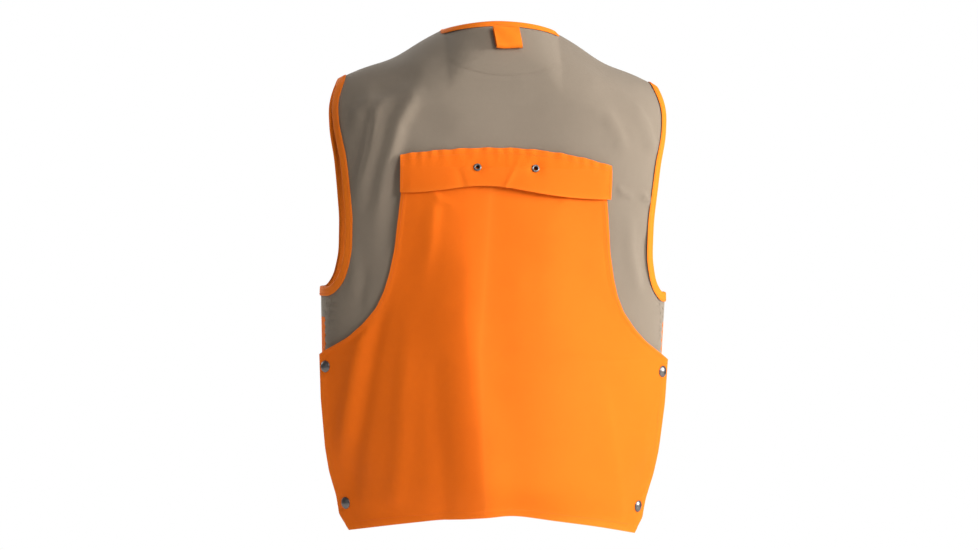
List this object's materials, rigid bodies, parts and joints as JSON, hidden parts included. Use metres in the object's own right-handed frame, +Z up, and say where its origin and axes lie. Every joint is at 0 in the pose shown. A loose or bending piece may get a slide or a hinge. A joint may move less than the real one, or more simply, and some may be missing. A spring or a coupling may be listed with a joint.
{
  "type": "field vest",
  "caption": "Sleeveless upland field vest with a flared game bag on its back, zipped front, bellows pockets, snap-down bag edges and a hang loop.",
  "frame": {"origin": "midway between the two high shoulder points at the neck, where the vest hangs on the wearer", "axes": "+X towards the wearer's right, +Y towards the wearer's front, +Z up"},
  "size_m": [0.4666, 0.2937, 0.6759],
  "materials": {
    "khaki_cotton": "woven cotton, matt",
    "blaze_orange_cloth": "woven blaze orange cloth, slight sheen",
    "binding_tape": "ribbed binding tape",
    "label_satin": "satin",
    "gunmetal": "gunmetal plated, polished",
    "zip_brass": "antique brass"
  },
  "bodies": {
    "vest": {"back_panel": "khaki_cotton", "neck_facing": "khaki_cotton", "neck_label": "label_satin", "neck_binding": "binding_tape", "left_yoke": "khaki_cotton", "right_yoke": "khaki_cotton", "left_side_panel": "blaze_orange_cloth", "right_side_panel": "blaze_orange_cloth", "left_armhole_binding": "binding_tape", "right_armhole_binding": "binding_tape", "left_fold_upper": "khaki_cotton", "right_fold_upper": "khaki_cotton", "left_fold_lower": "blaze_orange_cloth", "right_fold_lower": "blaze_orange_cloth", "bag_liner": "blaze_orange_cloth", "bag_panel": "blaze_orange_cloth", "bag_bottom": "blaze_orange_cloth", "left_bag_studs": "gunmetal", "right_bag_studs": "gunmetal", "left_snap_pads": "blaze_orange_cloth", "right_snap_pads": "blaze_orange_cloth"},
    "left_front": {"left_front_upper": "khaki_cotton", "left_front_lower": "blaze_orange_cloth", "left_neck_binding": "binding_tape", "left_pocket_face": "blaze_orange_cloth", "left_pocket_gusset": "blaze_orange_cloth", "left_pocket_stud": "gunmetal", "left_zip_tape": "binding_tape", "left_zip_teeth": "zip_brass", "left_top_stop": "zip_brass", "zip_retainer": "zip_brass"},
    "left_pocket_lid": {"left_pocket_flap": "blaze_orange_cloth", "left_pocket_snap": "gunmetal"},
    "left_side_edge": {"left_bag_edge": "blaze_orange_cloth", "left_bag_caps": "gunmetal", "left_bag_sockets": "gunmetal"},
    "right_front": {"right_front_upper": "khaki_cotton", "right_front_lower": "blaze_orange_cloth", "right_neck_binding": "binding_tape", "right_pocket_face": "blaze_orange_cloth", "right_pocket_gusset": "blaze_orange_cloth", "right_pocket_stud": "gunmetal", "right_zip_tape": "binding_tape", "right_zip_teeth": "zip_brass", "right_top_stop": "zip_brass", "zip_pin": "zip_brass"},
    "right_pocket_lid": {"right_pocket_flap": "blaze_orange_cloth", "right_pocket_snap": "gunmetal"},
    "right_side_edge": {"right_bag_edge": "blaze_orange_cloth", "right_bag_caps": "gunmetal", "right_bag_sockets": "gunmetal"},
    "mouth_flap": {"bag_flap": "blaze_orange_cloth", "eyelets": "gunmetal", "eyelet_washers": "gunmetal"},
    "loop": {"hang_loop": "binding_tape"},
    "slider": {"zip_slider": "gunmetal"},
    "pull": {"zip_pull": "gunmetal"}
  },
  "joints": [
    {"name": "right_front_opens", "type": "hinge", "parent": "vest", "child": "right_front", "pos_m": [0.075, 0.005, 0], "axis": [0.1984, 0.0839, -0.9765], "range_deg": [0, 35], "deforming": ["right_fold_upper", "right_fold_lower"]},
    {"name": "left_front_opens", "type": "hinge", "parent": "vest", "child": "left_front", "pos_m": [-0.075, 0.005, 0], "axis": [0.1984, -0.0839, 0.9765], "range_deg": [0, 35], "deforming": ["left_fold_upper", "left_fold_lower"]},
    {"name": "zip_slides_down", "type": "slide", "parent": "left_front", "child": "slider", "axis": [0, 0.0308, -0.9995], "range_m": [0, 0.478], "deforming": ["left_zip_teeth", "right_zip_teeth"]},
    {"name": "zip_pull_swings", "type": "hinge", "parent": "slider", "child": "pull", "pos_m": [0, 0.11063, -0.13083], "axis": [1, 0, 0], "range_deg": [0, 150]},
    {"name": "right_pocket_lid_lifts", "type": "hinge", "parent": "right_front", "child": "right_pocket_lid", "pos_m": [0.03541, 0.12261, -0.39194], "axis": [0.9793, -0.2026, 0], "range_deg": [0, 90]},
    {"name": "left_pocket_lid_lifts", "type": "hinge", "parent": "left_front", "child": "left_pocket_lid", "pos_m": [-0.03541, 0.12261, -0.39194], "axis": [0.9793, 0.2026, 0], "range_deg": [0, 90]},
    {"name": "mouth_flap_lifts", "type": "hinge", "parent": "vest", "child": "mouth_flap", "pos_m": [0, -0.119, -0.16], "axis": [-1, 0, 0], "range_deg": [0, 150]},
    {"name": "hang_loop_lifts", "type": "hinge", "parent": "vest", "child": "loop", "pos_m": [0, -0.0765, 0.0055], "axis": [-1, 0, 0], "range_deg": [0, 150]},
    {"name": "right_side_edge_unsnaps", "type": "hinge", "parent": "vest", "child": "right_side_edge", "pos_m": [0.192, -0.0804, -0.407], "axis": [-0.1318, 0, -0.9913], "range_deg": [0, 70]},
    {"name": "left_side_edge_unsnaps", "type": "hinge", "parent": "vest", "child": "left_side_edge", "pos_m": [-0.192, -0.0804, -0.407], "axis": [-0.1318, 0, 0.9913], "range_deg": [0, 70]}
  ]
}
